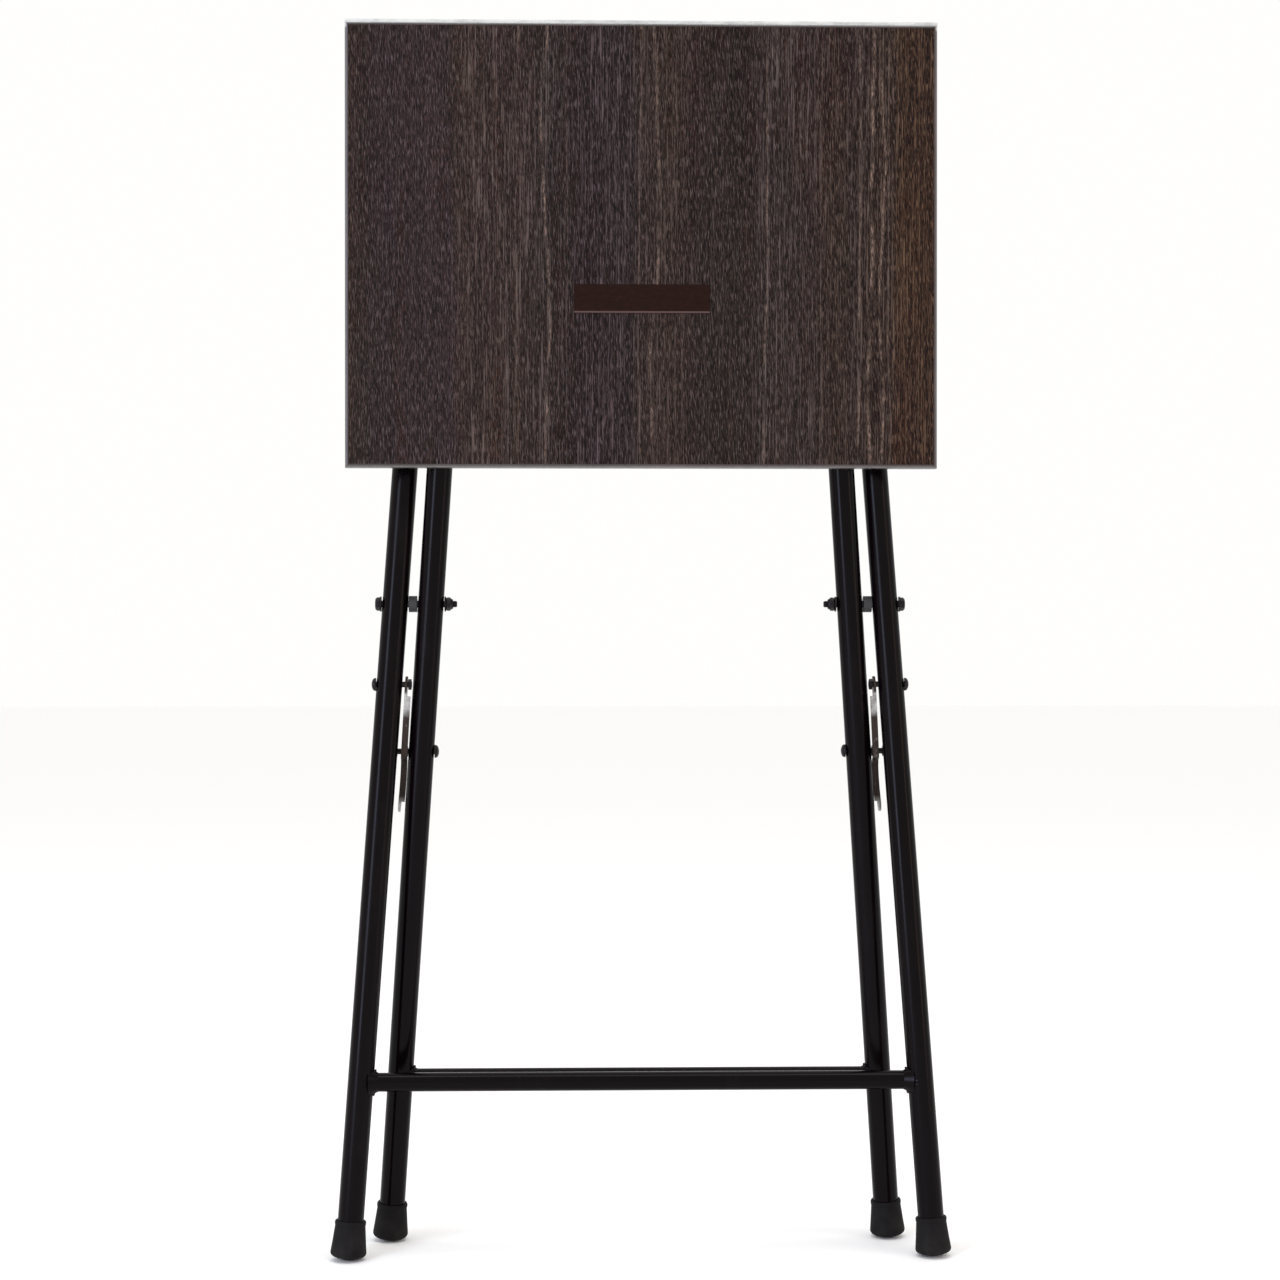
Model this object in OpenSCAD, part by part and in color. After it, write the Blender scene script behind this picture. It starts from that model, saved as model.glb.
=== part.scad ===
// Folding tray table: laminate board on two crossed tubular frames.
// Units are millimetres, +Z is up, the working face looks towards -Y.
// Stored pose: the frames are folded and the board hangs upright.

/* [Tabletop] */
// Board width across the table
board_w = 500; // [300:5:700]
// Board length from edge to edge
board_l = 375; // [250:5:500]
// Board thickness
board_t = 15; // [10:1:25]
// Edge band thickness
band_t = 3; // [1:0.5:4]
// Radius on the long corners of the edge bands
band_r = 2.5; // [0.5:0.1:3]
// Distance from the hinge bar to the board's front edge
hinge_to_edge = 92; // [60:1:150]
// Blank label plate width
label_w = 115; // [40:1:160]
// Blank label plate height
label_h = 24.5; // [10:0.5:60]
// Height of the label's centre above the hinge bar
label_above_hinge = 50.4; // [30:0.1:120]

/* [Frames] */
// Outside diameter of the frame tubes
tube_d = 22; // [16:0.5:30]
// Wall thickness of the frame tubes
tube_wall = 1.2; // [0.8:0.1:2.5]
// Radius of the bends at the top corners, on the tube's axis
bend_r = 40; // [30:1:60]
// Height of the pivot bolts in the folded pose
pivot_z = 554; // [400:1:700]
// Distance from the pivot axis up to the top bars
upper_arm = 207; // [150:1:300]
// Outward lean of each leg in its frame's plane
splay = 3.9; // [0:0.1:8]
// Half spacing of the outer legs at the pivot
outer_half = 210.5; // [150:0.5:300]
// Half spacing of the inner legs at the pivot
inner_half = 180; // [120:0.5:280]
// Tilt of each frame when folded
rest_tilt = 3.5; // [3.4:0.1:6]
// Tilt of each frame when the table is up
open_tilt = 28.3; // [20:0.1:40]

/* [Crossbars and feet] */
// Outside diameter of the crossbars
bar_d = 16; // [10:0.5:22]
// Wall thickness of the crossbars
bar_wall = 1; // [0.8:0.1:2]
// Distance from the pivot down to the outer crossbar
outer_bar_drop = 406.5; // [300:0.5:480]
// Distance from the pivot down to the inner crossbar
inner_bar_drop = 412; // [300:0.5:480]
// Height of the rubber feet
foot_h = 33; // [20:1:50]
// Radius of the domed underside of the feet
foot_dome_r = 30; // [20:1:60]

/* [Fasteners and stays] */
// Diameter of the pivot bolts
pivot_d = 6; // [5:0.5:8]
// Diameter of the stay bolts and the guide bolts
stay_d = 5; // [4:0.5:6]
// Distance from the pivot down to the stay bolts
stay_drop = 69; // [50:1:100]
// Distance from the pivot down to the guide bolts
guide_drop = 127; // [100:1:160]
// Thickness of the stay strips
stay_t = 2; // [1.5:0.1:3]
// Width of the stay strips
stay_w = 14; // [12:0.5:18]
// Height of the stiffening flange along each stay strip
flange_h = 3.5; // [2:0.1:3.5]
// Half spacing of the straps and catches
strap_x = 110; // [60:1:150]

/* [Hidden] */
$fn = 64;
tube_r = tube_d / 2;
bar_r = bar_d / 2;
lean = tan(splay);
// Half thickness of a leaning tube, measured along X
tube_rx = tube_r / cos(splay);
hinge_y = -upper_arm * sin(rest_tilt);
hinge_z = pivot_z + upper_arm * cos(rest_tilt);
// The bars stand this far off the board's underside
bar_gap = 0.5;
under_y = hinge_y - tube_r - bar_gap;
face_y = under_y - board_t;
board_z0 = hinge_z - hinge_to_edge;
board_z1 = board_z0 + board_l;
// Spacing of the two top bars when the table is up
open_span = 2 * upper_arm * sin(open_tilt);
// Distance below the pivot, along the frame, of the feet's dome centres
dome_drop = (pivot_z - foot_dome_r) / cos(rest_tilt);
foot_len = dome_drop / cos(splay) + foot_dome_r;
foot_floor = 7;
fit_gap = 0.06;
weld_gap = 0.05;
tube_end_gap = 0.5;
glue_gap = 0.02;

// Stand-off that keeps a flat face clear of a leaning tube
bolt_stand = 0.42;
pivot_stand = 0.75;
washer_t = 1.2;
washer_r = 6.5;
pivot_head_t = 4;
pivot_head_flat = 10;
pivot_nut_t = 6;
pivot_tip = 3.5;
pivot_spacer_r = 7;
stay_head_t = 3.8;
stay_head_r = 5.6;
stay_nut_flat = 8;
stay_nut_t = 2.7;
rivet_t = 0.9;
rivet_r = 4.5;

// Stay strip: offset of its middle plane from the inner leg's surface
stay_off = 5;
slot_gap = 0.5;
eye_r = stay_w / 2;
flange_t = 1.5;
flange_inset = 0.1;
// Distance from the stay bolt to the flange's upper end
flange_start = 9;
// Path of the guide bolt seen from the strip as the frames open, share runs from 0 to 1
a_rest = 2 * rest_tilt;
a_open = 2 * open_tilt;
function seen_angle(a) = atan2(guide_drop * sin(a), guide_drop * cos(a) - stay_drop);
function seen_dist(a) = norm([guide_drop * sin(a), guide_drop * cos(a) - stay_drop]);
turn_rest = seen_angle(a_rest);
turn_open = seen_angle(a_open);
function path_angle(share) =
  seen_angle(a_rest + (a_open - a_rest) * share) - turn_rest - (turn_open - turn_rest) * share;
function path_dist(share) = seen_dist(a_rest + (a_open - a_rest) * share);
function path_point(share) = path_dist(share) *
  [sin(path_angle(share)), -cos(path_angle(share)) / cos(splay)];
path_steps = 24;
path = [for (i = [0 : path_steps]) path_point(i / path_steps)];
function path_dir(i) = path[min(i + 1, path_steps)] - path[max(i - 1, 0)];
function beside(i, width) = path[i] + width / 2 * [-path_dir(i)[1], path_dir(i)[0]] / norm(path_dir(i));
// Angle between the strip's straight neck and the start of the path
first_bend = atan2(path_dir(0)[0], -path_dir(0)[1]);
strap_t = 1.2;
strap_w = 25;
liner_t = 0.8;
liner_gap = 0.05;
strap_in = tube_r + liner_gap + liner_t;
strap_out = strap_in + strap_t;
strap_tab = 30;
strap_hole = 21.5;
catch_w = 32;
catch_wall = 3;
catch_hole = open_span + 24;
catch_hole_x = 9;
screw_d = 3.8;
screw_len = 12;
screw_head_r = 3.6;
screw_head_t = 2.2;
buffer_z = 684;
buffer_r = 6;
buffer_t = 4.4;

black_paint = [0.03, 0.03, 0.035];
dark_wood = [0.2, 0.17, 0.165];
dark_edge = [0.26, 0.23, 0.22];
label_brown = [0.17, 0.11, 0.1];
steel = [0.62, 0.62, 0.6];
black_steel = [0.09, 0.09, 0.095];
stay_steel = [0.22, 0.19, 0.18];
rubber_black = [0.04, 0.04, 0.04];
nylon_white = [0.85, 0.84, 0.8];

// ---- placing helpers ----

// Puts a frame's own plane into the folded pose, with the pivot axis at its origin
module on_frame(tilt) {
  translate([0, 0, pivot_z]) rotate([tilt, 0, 0]) children();
}

// Z runs up the leg from the pivot, side is -1 or 1
module on_leg(side, half) {
  translate([side * half, 0, 0]) rotate([0, -side * splay, 0]) children();
}

// A rod along X from x0 to x1
module rod_x(x0, x1, r) {
  translate([x0, 0, 0]) rotate([0, 90, 0]) cylinder(h = x1 - x0, r = r);
}

// A hexagon along X from x0 to x1
module hex_x(x0, x1, flat) {
  translate([x0, 0, 0]) rotate([0, 90, 0]) cylinder(h = x1 - x0, r = flat / sqrt(3), $fn = 6);
}

// A domed head along X, flat at x0 and rising towards dir, 1 or -1
module dome_x(x0, dir, r, t) {
  translate([x0, 0, 0]) rotate([0, dir * 90, 0]) rotate_extrude()
    polygon(concat([[0, 0], [r, 0], [r, t * 0.25]],
      [for (a = [20 : 17.5 : 90]) [r * cos(a), t * (0.25 + 0.75 * sin(a))]]));
}

// X grows outwards on either side
module on_side(side) {
  mirror([side < 0 ? 1 : 0, 0, 0]) children();
}

// ---- frames ----

// A straight hollow tube up Z
module straight_tube(len) {
  difference() {
    cylinder(h = len, r = tube_r);
    translate([0, 0, -1]) cylinder(h = len + 2, r = tube_r - tube_wall);
  }
}

// Half length of the straight part of a frame's top bar
function bar_half(half) = half - upper_arm * lean - bend_r * tan((90 - splay) / 2);

// A leg and the bend above it, on the +X side
module leg_and_bend(half) {
  turn = 90 - splay;
  leg_len = upper_arm / cos(splay) - bend_r * tan(turn / 2) + foot_len - foot_floor - tube_end_gap;
  translate([bar_half(half), 0, upper_arm - bend_r]) rotate([90, 0, 0]) rotate([0, 0, splay]) {
    rotate_extrude(angle = turn) translate([bend_r, 0]) difference() {
      circle(r = tube_r);
      circle(r = tube_r - tube_wall);
    }
    translate([bend_r, 0, 0]) rotate([90, 0, 0]) straight_tube(leg_len);
  }
}

module frame_tube(half, bolt_drop) {
  difference() {
    union() {
      for (side = [-1, 1]) {
        on_side(side) leg_and_bend(half);
      }
      translate([bar_half(half), 0, upper_arm]) rotate([0, -90, 0]) straight_tube(2 * bar_half(half));
    }
    for (side = [-1, 1]) {
      on_side(side) rod_x(half - 20, half + 20, pivot_d / 2 + fit_gap);
      on_side(side) translate([half + bolt_drop * lean, 0, -bolt_drop])
        rod_x(-20, 20, stay_d / 2 + weld_gap);
    }
  }
}

module crossbar(half, drop) {
  reach = half + drop * lean;
  bead = 4;
  difference() {
    translate([0, 0, -drop]) union() {
      rod_x(-reach, reach, bar_r);
      for (side = [-1, 1]) {
        on_side(side) translate([reach - tube_r - bead, 0, 0]) rotate([0, 90, 0])
          cylinder(h = bead + 4, r1 = bar_r, r2 = bar_r + 4);
      }
    }
    translate([0, 0, -drop]) rod_x(-reach, reach, bar_r - bar_wall);
    for (side = [-1, 1]) {
      on_leg(side, half) translate([0, 0, -foot_len]) cylinder(h = foot_len, r = tube_r + weld_gap);
    }
  }
}

module foot(half, side) {
  dome = [for (a = [0 : 4 : 24]) foot_dome_r * [sin(a), 1 - cos(a)]];
  shoulder = [for (a = [30 : 12 : 90]) [11.6 + 3.6 * sin(a), 6.4 - 3.6 * cos(a)]];
  bore_r = tube_r + 0.02;
  on_leg(side, half) translate([0, 0, -foot_len]) rotate_extrude()
    polygon(concat(dome, shoulder,
      [[14.2, 15], [12.8, foot_h - 4], [13.2, foot_h - 3], [13.2, foot_h - 1], [12.6, foot_h]],
      [[bore_r, foot_h], [bore_r, foot_floor], [0, foot_floor]]));
}

// ---- fasteners at the pivot ----

outer_face = outer_half + tube_rx + pivot_stand;
inner_face = inner_half - tube_rx - pivot_stand;

module pivot_bolt() {
  translate([0, 0, pivot_z]) {
    rod_x(inner_face - washer_t - pivot_nut_t - pivot_tip, outer_face + washer_t + 1, pivot_d / 2);
    intersection() {
      hex_x(outer_face + washer_t, outer_face + washer_t + pivot_head_t, pivot_head_flat);
      translate([outer_face + washer_t, 0, 0]) rotate([0, 90, 0])
        cylinder(h = pivot_head_t, r1 = 6.6, r2 = 5.1);
    }
  }
}

module pivot_nut() {
  nut_end = inner_face - washer_t;
  translate([0, 0, pivot_z]) difference() {
    union() {
      hex_x(nut_end - 4.2, nut_end, pivot_head_flat);
      translate([nut_end - pivot_nut_t, 0, 0]) rotate([0, 90, 0])
        cylinder(h = pivot_nut_t - 4.2, r1 = 3.9, r2 = 4.9);
    }
    rod_x(nut_end - pivot_nut_t - 1, nut_end + 1, pivot_d / 2 + 0.02);
  }
}

module pivot_spacer() {
  half_len = (outer_half - inner_half - 2 * tube_rx) / 2 - pivot_stand;
  mid = (outer_half + inner_half) / 2;
  translate([0, 0, pivot_z]) difference() {
    rod_x(mid - half_len, mid + half_len, pivot_spacer_r);
    rod_x(mid - 10, mid + 10, pivot_d / 2 + 0.02);
  }
}

module washer(x0) {
  translate([0, 0, pivot_z]) difference() {
    rod_x(x0, x0 + washer_t, washer_r);
    rod_x(x0 - 1, x0 + washer_t + 1, pivot_d / 2 + 0.02);
  }
}

// ---- stays, stay bolts and guide bolts ----

stay_x = inner_half + tube_rx + stay_drop * lean + stay_off;
guide_x = inner_half + tube_rx + guide_drop * lean;

module stay_bolt() {
  head = outer_half + tube_rx + stay_drop * lean + bolt_stand;
  tip = stay_x - stay_off + 0.3;
  translate([0, 0, -stay_drop]) {
    rod_x(tip, head + 1, stay_d / 2);
    dome_x(head, 1, stay_head_r, stay_head_t);
  }
}

module stay_nut() {
  nut_out = stay_x - stay_t / 2 - 0.7;
  translate([0, 0, -stay_drop]) difference() {
    hex_x(nut_out - stay_nut_t, nut_out, stay_nut_flat);
    rod_x(nut_out - 5, nut_out + 1, stay_d / 2 + 0.02);
  }
}

module guide_bolt() {
  head = inner_half - tube_rx + guide_drop * lean - bolt_stand;
  rivet = guide_x + 9.7;
  translate([0, 0, -guide_drop]) {
    rod_x(head - 1, rivet + 0.2, stay_d / 2);
    dome_x(head, -1, stay_head_r, stay_head_t);
    rod_x(rivet, rivet + rivet_t, rivet_r);
  }
}

module guide_nut() {
  nut_in = guide_x + bolt_stand;
  translate([0, 0, -guide_drop]) difference() {
    hex_x(nut_in, nut_in + stay_nut_t, stay_nut_flat);
    rod_x(nut_in - 1, nut_in + 5, stay_d / 2 + 0.02);
  }
}

// Flat band along the guide bolt's path, in the strip's own plane
module path_band(width, thick) {
  translate([0, 0, -thick / 2]) {
    linear_extrude(height = thick) polygon(concat(
      [for (i = [0 : path_steps]) beside(i, width)],
      [for (i = [path_steps : -1 : 0]) beside(i, -width)]));
    for (p = [path[0], path[path_steps]]) {
      translate(p) cylinder(h = thick, r = width / 2);
    }
  }
}

// Line along the strip's front edge, at a distance of side from its middle
function front_line(side) = concat([[-side, -flange_start]],
  [for (k = [0 : 4]) path[0] + side * [cos(180 + k / 4 * first_bend), sin(180 + k / 4 * first_bend)]],
  [for (i = [1 : path_steps]) beside(i, -2 * side)]);

// Flange along the strip's front edge, folded towards the inner leg
module stay_flange() {
  outer_line = front_line(stay_w / 2 - flange_inset);
  inner_line = front_line(stay_w / 2 - flange_inset - flange_t);
  last = len(inner_line) - 1;
  translate([0, 0, -stay_t / 2 - flange_h]) linear_extrude(height = flange_h + stay_t / 2)
    polygon(concat(outer_line, [for (i = [last : -1 : 0]) inner_line[i]]));
}

module stay() {
  slot_w = stay_d + 2 * slot_gap;
  neck = -path[0][1];
  // the strip's plane leans with the legs, its length starts at the stay bolt
  translate([stay_x, 0, -stay_drop]) rotate([turn_rest, 0, 0]) difference() {
    rotate([0, -splay, 0]) rotate([90, 0, 90]) difference() {
      union() {
        translate([0, 0, -stay_t / 2]) cylinder(h = stay_t, r = eye_r);
        translate([-stay_w / 2, -neck, -stay_t / 2]) cube([stay_w, neck, stay_t]);
        path_band(stay_w, stay_t);
        stay_flange();
      }
      path_band(slot_w, stay_t + 2);
    }
    rod_x(-10, 10, stay_d / 2 + fit_gap);
  }
}

// ---- tabletop ----

// Cross-section of an edge band: X is outwards, Y runs through the board
module band_profile() {
  square([band_t - band_r, board_t]);
  translate([0, band_r]) square([band_t, board_t - 2 * band_r]);
  for (y = [band_r, board_t - band_r]) {
    intersection() {
      translate([band_t - band_r, y]) circle(r = band_r);
      square([band_t, board_t]);
    }
  }
}

// A band along +Z from 0 to len with mitred ends, outwards is +X, the working face is at Y = 0
module mitred_band(len) {
  difference() {
    linear_extrude(height = len) band_profile();
    translate([0, -1, band_t + glue_gap]) rotate([0, 135, 0]) cube([30, board_t + 2, 30]);
    translate([0, -1, len - band_t - glue_gap]) rotate([0, -45, 0]) cube([30, board_t + 2, 30]);
  }
}

module core_box() {
  rim = band_t + glue_gap;
  translate([-board_w / 2 + rim, face_y, board_z0 + rim])
    cube([board_w - 2 * rim, board_t, board_l - 2 * rim]);
}

module on_screws() {
  for (side = [-1, 1]) {
    for (up = [-1, 1]) {
      translate([side * strap_x, under_y, hinge_z + up * strap_hole]) rotate([90, 0, 0]) children();
    }
  }
}

module on_catch_screws() {
  for (side = [-1, 1]) {
    for (step = [-1, 1]) {
      translate([side * strap_x + step * catch_hole_x, under_y, hinge_z + catch_hole])
        rotate([90, 0, 0]) children();
    }
  }
}

// Z runs into the board, 0 is the underside, sheet is what the head clamps
module screw(sheet) {
  translate([0, 0, -sheet]) cylinder(h = screw_len, r = screw_d / 2);
  difference() {
    intersection() {
      translate([0, 0, -sheet - screw_head_t]) cylinder(h = screw_head_t, r = screw_head_r);
      translate([0, 0, -sheet + 2.2]) sphere(r = 4.9);
    }
    for (a = [0, 90]) {
      rotate([0, 0, a]) translate([-2.2, -0.5, -sheet - 3.2]) cube([4.4, 1, 2.2]);
    }
  }
}

module pilot() {
  translate([0, 0, -1]) cylinder(h = screw_len + 1, r = screw_d / 2 + weld_gap);
}

module board() {
  color(dark_wood) difference() {
    core_box();
    translate([-label_w / 2, face_y - 1, hinge_z + label_above_hinge - label_h / 2])
      cube([label_w, 1.8, label_h]);
    on_screws() pilot();
    on_catch_screws() pilot();
  }
}

module edge_band_top() {
  color(dark_edge) translate([-board_w / 2, face_y, board_z1 - band_t]) multmatrix([
    [0, 0, 1, 0], [0, 1, 0, 0], [1, 0, 0, 0]]) mitred_band(board_w);
}

module edge_band_bottom() {
  color(dark_edge) translate([-board_w / 2, face_y, board_z0 + band_t]) multmatrix([
    [0, 0, 1, 0], [0, 1, 0, 0], [-1, 0, 0, 0]]) mitred_band(board_w);
}

module edge_band_right() {
  color(dark_edge) translate([board_w / 2 - band_t, face_y, board_z0]) mitred_band(board_l);
}

module edge_band_left() {
  color(dark_edge) mirror([1, 0, 0]) translate([board_w / 2 - band_t, face_y, board_z0])
    mitred_band(board_l);
}

module label_plate() {
  color(label_brown)
    translate([-label_w / 2 + 0.2, face_y + 0.05, hinge_z + label_above_hinge - label_h / 2 + 0.2])
    cube([label_w - 0.4, 0.7, label_h - 0.4]);
}

// Cross-sections drawn with X up the board and Y away from it, 0 at the bar's axis
module strap_section() {
  foot_y = -tube_r - bar_gap;
  difference() {
    union() {
      circle(r = strap_out);
      translate([-strap_out, foot_y]) square([2 * strap_out, -foot_y]);
    }
    circle(r = strap_in);
    translate([-strap_in, foot_y - 1]) square([2 * strap_in, 1 - foot_y]);
    translate([-20, foot_y - 20]) square([40, 20]);
  }
  for (side = [-1, 1]) {
    translate([side > 0 ? strap_in : -strap_tab, foot_y]) square([strap_tab - strap_in, strap_t + 0.4]);
  }
}

module liner_section() {
  liner_y = -7;
  difference() {
    union() {
      circle(r = strap_in - 0.01);
      translate([-strap_in + 0.01, liner_y]) square([2 * strap_in - 0.02, -liner_y]);
    }
    circle(r = tube_r + liner_gap);
    translate([-tube_r - liner_gap, liner_y - 8]) square([2 * (tube_r + liner_gap), 8 - liner_y]);
    translate([-20, liner_y - 20]) square([40, 20]);
  }
}

// Draws a section across the board at the hinge bar, centred on x
module across(x, width) {
  translate([x - width / 2, hinge_y, hinge_z]) multmatrix([
    [0, 0, 1, 0], [0, 1, 0, 0], [1, 0, 0, 0]]) linear_extrude(height = width) children();
}

module strap(side) {
  color(steel) difference() {
    across(side * strap_x, strap_w) strap_section();
    on_screws() translate([0, 0, -5]) cylinder(h = 10, r = screw_d / 2 + 0.1);
  }
}

module strap_liner(side) {
  color(nylon_white) across(side * strap_x, strap_w + 3) liner_section();
}

module catch_section() {
  foot_y = -tube_r - bar_gap;
  wall = open_span + tube_r + 0.7;
  polygon([[wall, foot_y], [wall + 24, foot_y], [wall + 25, foot_y + 1], [wall + 25, foot_y + 3],
    [wall + catch_wall + 2, foot_y + 3], [wall + catch_wall, foot_y + 5], [wall + catch_wall, 12.6],
    [wall + 1.6, 14.2], [wall - 3.4, 14.2], [wall - 4.2, 13.2], [wall - 4.2, 12.2], [wall, 9.6]]);
}

module catch_hook(side) {
  color(rubber_black) difference() {
    across(side * strap_x, catch_w) catch_section();
    on_catch_screws() translate([0, 0, -8]) cylinder(h = 10, r = screw_d / 2 + 0.1);
  }
}

module buffer(side) {
  leg_up = (buffer_z - pivot_z) / cos(rest_tilt);
  color(rubber_black) translate([side * (inner_half - leg_up * lean), under_y, buffer_z])
    rotate([-90, 0, 0]) union() {
      cylinder(h = buffer_t - 1.2, r = buffer_r);
      translate([0, 0, buffer_t - 1.2]) cylinder(h = 1.2, r1 = buffer_r, r2 = buffer_r - 1.4);
    }
}

// ---- nodes ----

module strap_left() { strap(-1); }
module strap_right() { strap(1); }
module strap_liner_left() { strap_liner(-1); }
module strap_liner_right() { strap_liner(1); }
module strap_screws() { color(steel) on_screws() screw(strap_t + 0.4); }
module catch_left() { catch_hook(-1); }
module catch_right() { catch_hook(1); }
module catch_screws() { color(steel) on_catch_screws() screw(3); }
module buffer_left() { buffer(-1); }
module buffer_right() { buffer(1); }

module outer_tube() { color(black_paint) on_frame(-rest_tilt) frame_tube(outer_half, stay_drop); }
module inner_tube() { color(black_paint) on_frame(rest_tilt) frame_tube(inner_half, guide_drop); }
module outer_crossbar() { color(black_paint) on_frame(-rest_tilt) crossbar(outer_half, outer_bar_drop); }
module inner_crossbar() { color(black_paint) on_frame(rest_tilt) crossbar(inner_half, inner_bar_drop); }
module outer_foot_left() { color(rubber_black) on_frame(-rest_tilt) foot(outer_half, -1); }
module outer_foot_right() { color(rubber_black) on_frame(-rest_tilt) foot(outer_half, 1); }
module inner_foot_left() { color(rubber_black) on_frame(rest_tilt) foot(inner_half, -1); }
module inner_foot_right() { color(rubber_black) on_frame(rest_tilt) foot(inner_half, 1); }

module pivot_bolt_left() { color(black_steel) on_side(-1) pivot_bolt(); }
module pivot_bolt_right() { color(black_steel) pivot_bolt(); }
module pivot_nut_left() { color(black_steel) on_side(-1) pivot_nut(); }
module pivot_nut_right() { color(black_steel) pivot_nut(); }
module pivot_spacer_left() { color(rubber_black) on_side(-1) pivot_spacer(); }
module pivot_spacer_right() { color(rubber_black) pivot_spacer(); }
module pivot_washers() {
  color(black_steel) for (side = [-1, 1]) {
    on_side(side) washer(outer_face);
    on_side(side) washer(inner_face - washer_t);
  }
}

module stay_bolt_left() { color(black_steel) on_frame(-rest_tilt) on_side(-1) stay_bolt(); }
module stay_bolt_right() { color(black_steel) on_frame(-rest_tilt) stay_bolt(); }
module stay_nuts() { color(black_steel) on_frame(-rest_tilt) for (side = [-1, 1]) on_side(side) stay_nut(); }
module guide_bolt_left() { color(black_steel) on_frame(rest_tilt) on_side(-1) guide_bolt(); }
module guide_bolt_right() { color(black_steel) on_frame(rest_tilt) guide_bolt(); }
module guide_nuts() { color(black_steel) on_frame(rest_tilt) for (side = [-1, 1]) on_side(side) guide_nut(); }
module stay_left() { color(stay_steel) on_frame(-rest_tilt) on_side(-1) stay(); }
module stay_right() { color(stay_steel) on_frame(-rest_tilt) stay(); }

board();
edge_band_top();
edge_band_bottom();
edge_band_left();
edge_band_right();
label_plate();
strap_left();
strap_right();
strap_liner_left();
strap_liner_right();
strap_screws();
catch_left();
catch_right();
catch_screws();
buffer_left();
buffer_right();
outer_tube();
outer_crossbar();
outer_foot_left();
outer_foot_right();
inner_tube();
inner_crossbar();
inner_foot_left();
inner_foot_right();
pivot_bolt_left();
pivot_bolt_right();
pivot_nut_left();
pivot_nut_right();
pivot_spacer_left();
pivot_spacer_right();
pivot_washers();
stay_bolt_left();
stay_bolt_right();
stay_nuts();
guide_bolt_left();
guide_bolt_right();
guide_nuts();
stay_left();
stay_right();
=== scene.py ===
"""Looks of a folding tray table: materials, small hardware, floor, lights and camera.

Units are metres. +Z is up, and the folded board's working face looks towards -Y.
"""

import math

import bmesh
import bpy
from bpy.props import FloatProperty, FloatVectorProperty, IntProperty, PointerProperty
from bpy.types import Operator, Panel, PropertyGroup
from mathutils import Matrix, Vector


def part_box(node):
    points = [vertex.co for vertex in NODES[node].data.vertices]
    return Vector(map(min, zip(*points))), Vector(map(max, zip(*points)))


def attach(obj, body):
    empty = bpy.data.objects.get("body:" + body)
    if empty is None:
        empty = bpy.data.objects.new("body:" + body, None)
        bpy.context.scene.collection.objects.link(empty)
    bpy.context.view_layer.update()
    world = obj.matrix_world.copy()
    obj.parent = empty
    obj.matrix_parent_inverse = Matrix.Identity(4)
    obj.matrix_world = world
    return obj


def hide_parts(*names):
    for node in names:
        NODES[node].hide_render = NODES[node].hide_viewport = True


bl_info = {
    "name": "Folding tray table",
    "version": (1, 0, 0),
    "blender": (4, 5, 0),
    "location": "View3D > Sidebar > Tray Table",
    "description": "Finishes, fittings and a plain stage for a folding tray table",
    "category": "Object",
}

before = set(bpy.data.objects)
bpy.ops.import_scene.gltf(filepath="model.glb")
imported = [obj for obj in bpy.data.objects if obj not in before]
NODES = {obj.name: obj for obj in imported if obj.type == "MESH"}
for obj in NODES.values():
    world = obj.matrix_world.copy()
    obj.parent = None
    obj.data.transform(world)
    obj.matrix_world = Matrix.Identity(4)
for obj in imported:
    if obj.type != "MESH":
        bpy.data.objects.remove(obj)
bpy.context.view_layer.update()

BOARD_LOW, BOARD_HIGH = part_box("board")
BOARD_WIDTH = BOARD_HIGH.x - BOARD_LOW.x
LABEL_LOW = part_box("label_plate")[0]

REST_TILT = math.radians(3.5)
LEG_LEAN = math.tan(math.radians(3.9))
# Just outside the tube, so that a weld bead lies on the paint
LEG_RADIUS = 0.01103
# Distance from a crossbar's end to the leg's axis, and radius of the weld bead round the bar
CROSSBAR_END_TO_LEG = 0.0070
WELD_RING = 0.0096
WELD_RIPPLE = 0.16
WELD_STEPS_PER_RIPPLE = 6
WELD_STEPS_AROUND = 10

# Outlines turned on an axis, as (distance along it, radius or corner radius, hexagonal or not)
HEX_FLATS = 0.0100
SHANK_RADIUS = 0.00297
BOLT_HEAD = (
    (0.0, 0.0042, False),
    (0.00015, 0.0046, False),
    (0.0010, 0.00545, True),
    (0.0014, 0.0058, True),
    (0.0037, 0.0058, True),
    (0.0037, 0.0048, False),
    (0.0040, 0.0048, False),
    (0.0040, SHANK_RADIUS, False),
)
NUT_BORE = 0.00302
NUT_BODY = (
    (0.0, NUT_BORE, False),
    (0.0, 0.0047, False),
    (0.0006, 0.0055, True),
    (0.0009, 0.00577, True),
    (0.0035, 0.00577, True),
    (0.0042, 0.0050, True),
    (0.0042, 0.0046, False),
    (0.0050, 0.0045, False),
)
THREAD_ROOT = 0.00252
THREAD_RUNOUT = 0.0010
THREAD_STEPS_PER_TURN = 8
TURN_STEPS = 48
LIP_STEPS = 8
SHARP_EDGE = math.radians(32)

# Soft lights, as (name, place, aim, width, height, watts, colour)
LIGHTS = (
    ("key", (-2.3, -2.8, 1.2), (0.0, 0.0, 0.6), 0.9, 2.4, 64.0, (0.68, 0.76, 1.0)),
    ("fill", (2.7, -1.5, 1.2), (0.0, 0.0, 0.6), 0.5, 2.4, 12.0, (1.0, 0.66, 0.52)),
    ("overhead", (0.0, -0.3, 2.7), (0.0, 0.0, 0.9), 2.0, 0.9, 20.0, (1.0, 1.0, 1.0)),
)
FLOOR_HALF = 14.0


def colour(name, default, what):
    return FloatVectorProperty(
        name=name, description=what, default=default, size=3, min=0.0, max=1.0, subtype="COLOR"
    )


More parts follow.
